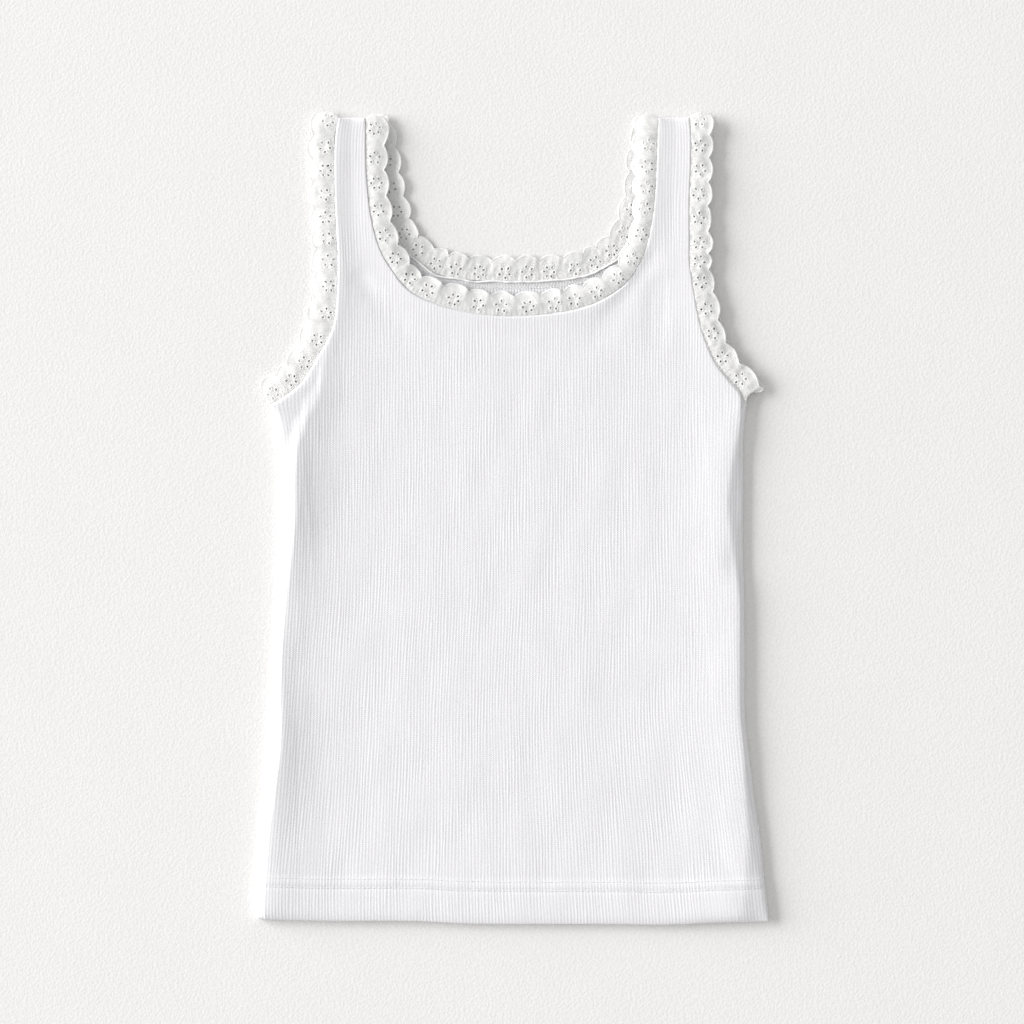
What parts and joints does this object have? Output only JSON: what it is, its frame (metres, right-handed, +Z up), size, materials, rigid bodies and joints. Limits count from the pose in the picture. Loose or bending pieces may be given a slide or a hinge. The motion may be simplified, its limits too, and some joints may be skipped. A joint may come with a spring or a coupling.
{
  "type": "tank top",
  "caption": "Child's sleeveless rib-knit tank top with gathered scalloped eyelet lace at the neck and armholes, laid flat.",
  "frame": {"origin": "middle of the garment's length and width, on the surface that its back panel lies on", "axes": "+Z up from that surface through the back and front panels, +Y from the hem to the shoulders, +X to the right as seen from above"},
  "size_m": [0.256, 0.4058, 0.0064],
  "materials": {
    "rib_knit": "matt white cotton rib knit",
    "eyelet_lace": "matt white cotton eyelet lace"
  },
  "bodies": {
    "root": {"front_panel": "rib_knit", "back_panel": "rib_knit", "lace_neck_front": "eyelet_lace", "lace_neck_back": "eyelet_lace", "lace_armhole_left_front": "eyelet_lace", "lace_armhole_left_back": "eyelet_lace", "lace_armhole_right_front": "eyelet_lace", "lace_armhole_right_back": "eyelet_lace"}
  },
  "joints": []
}
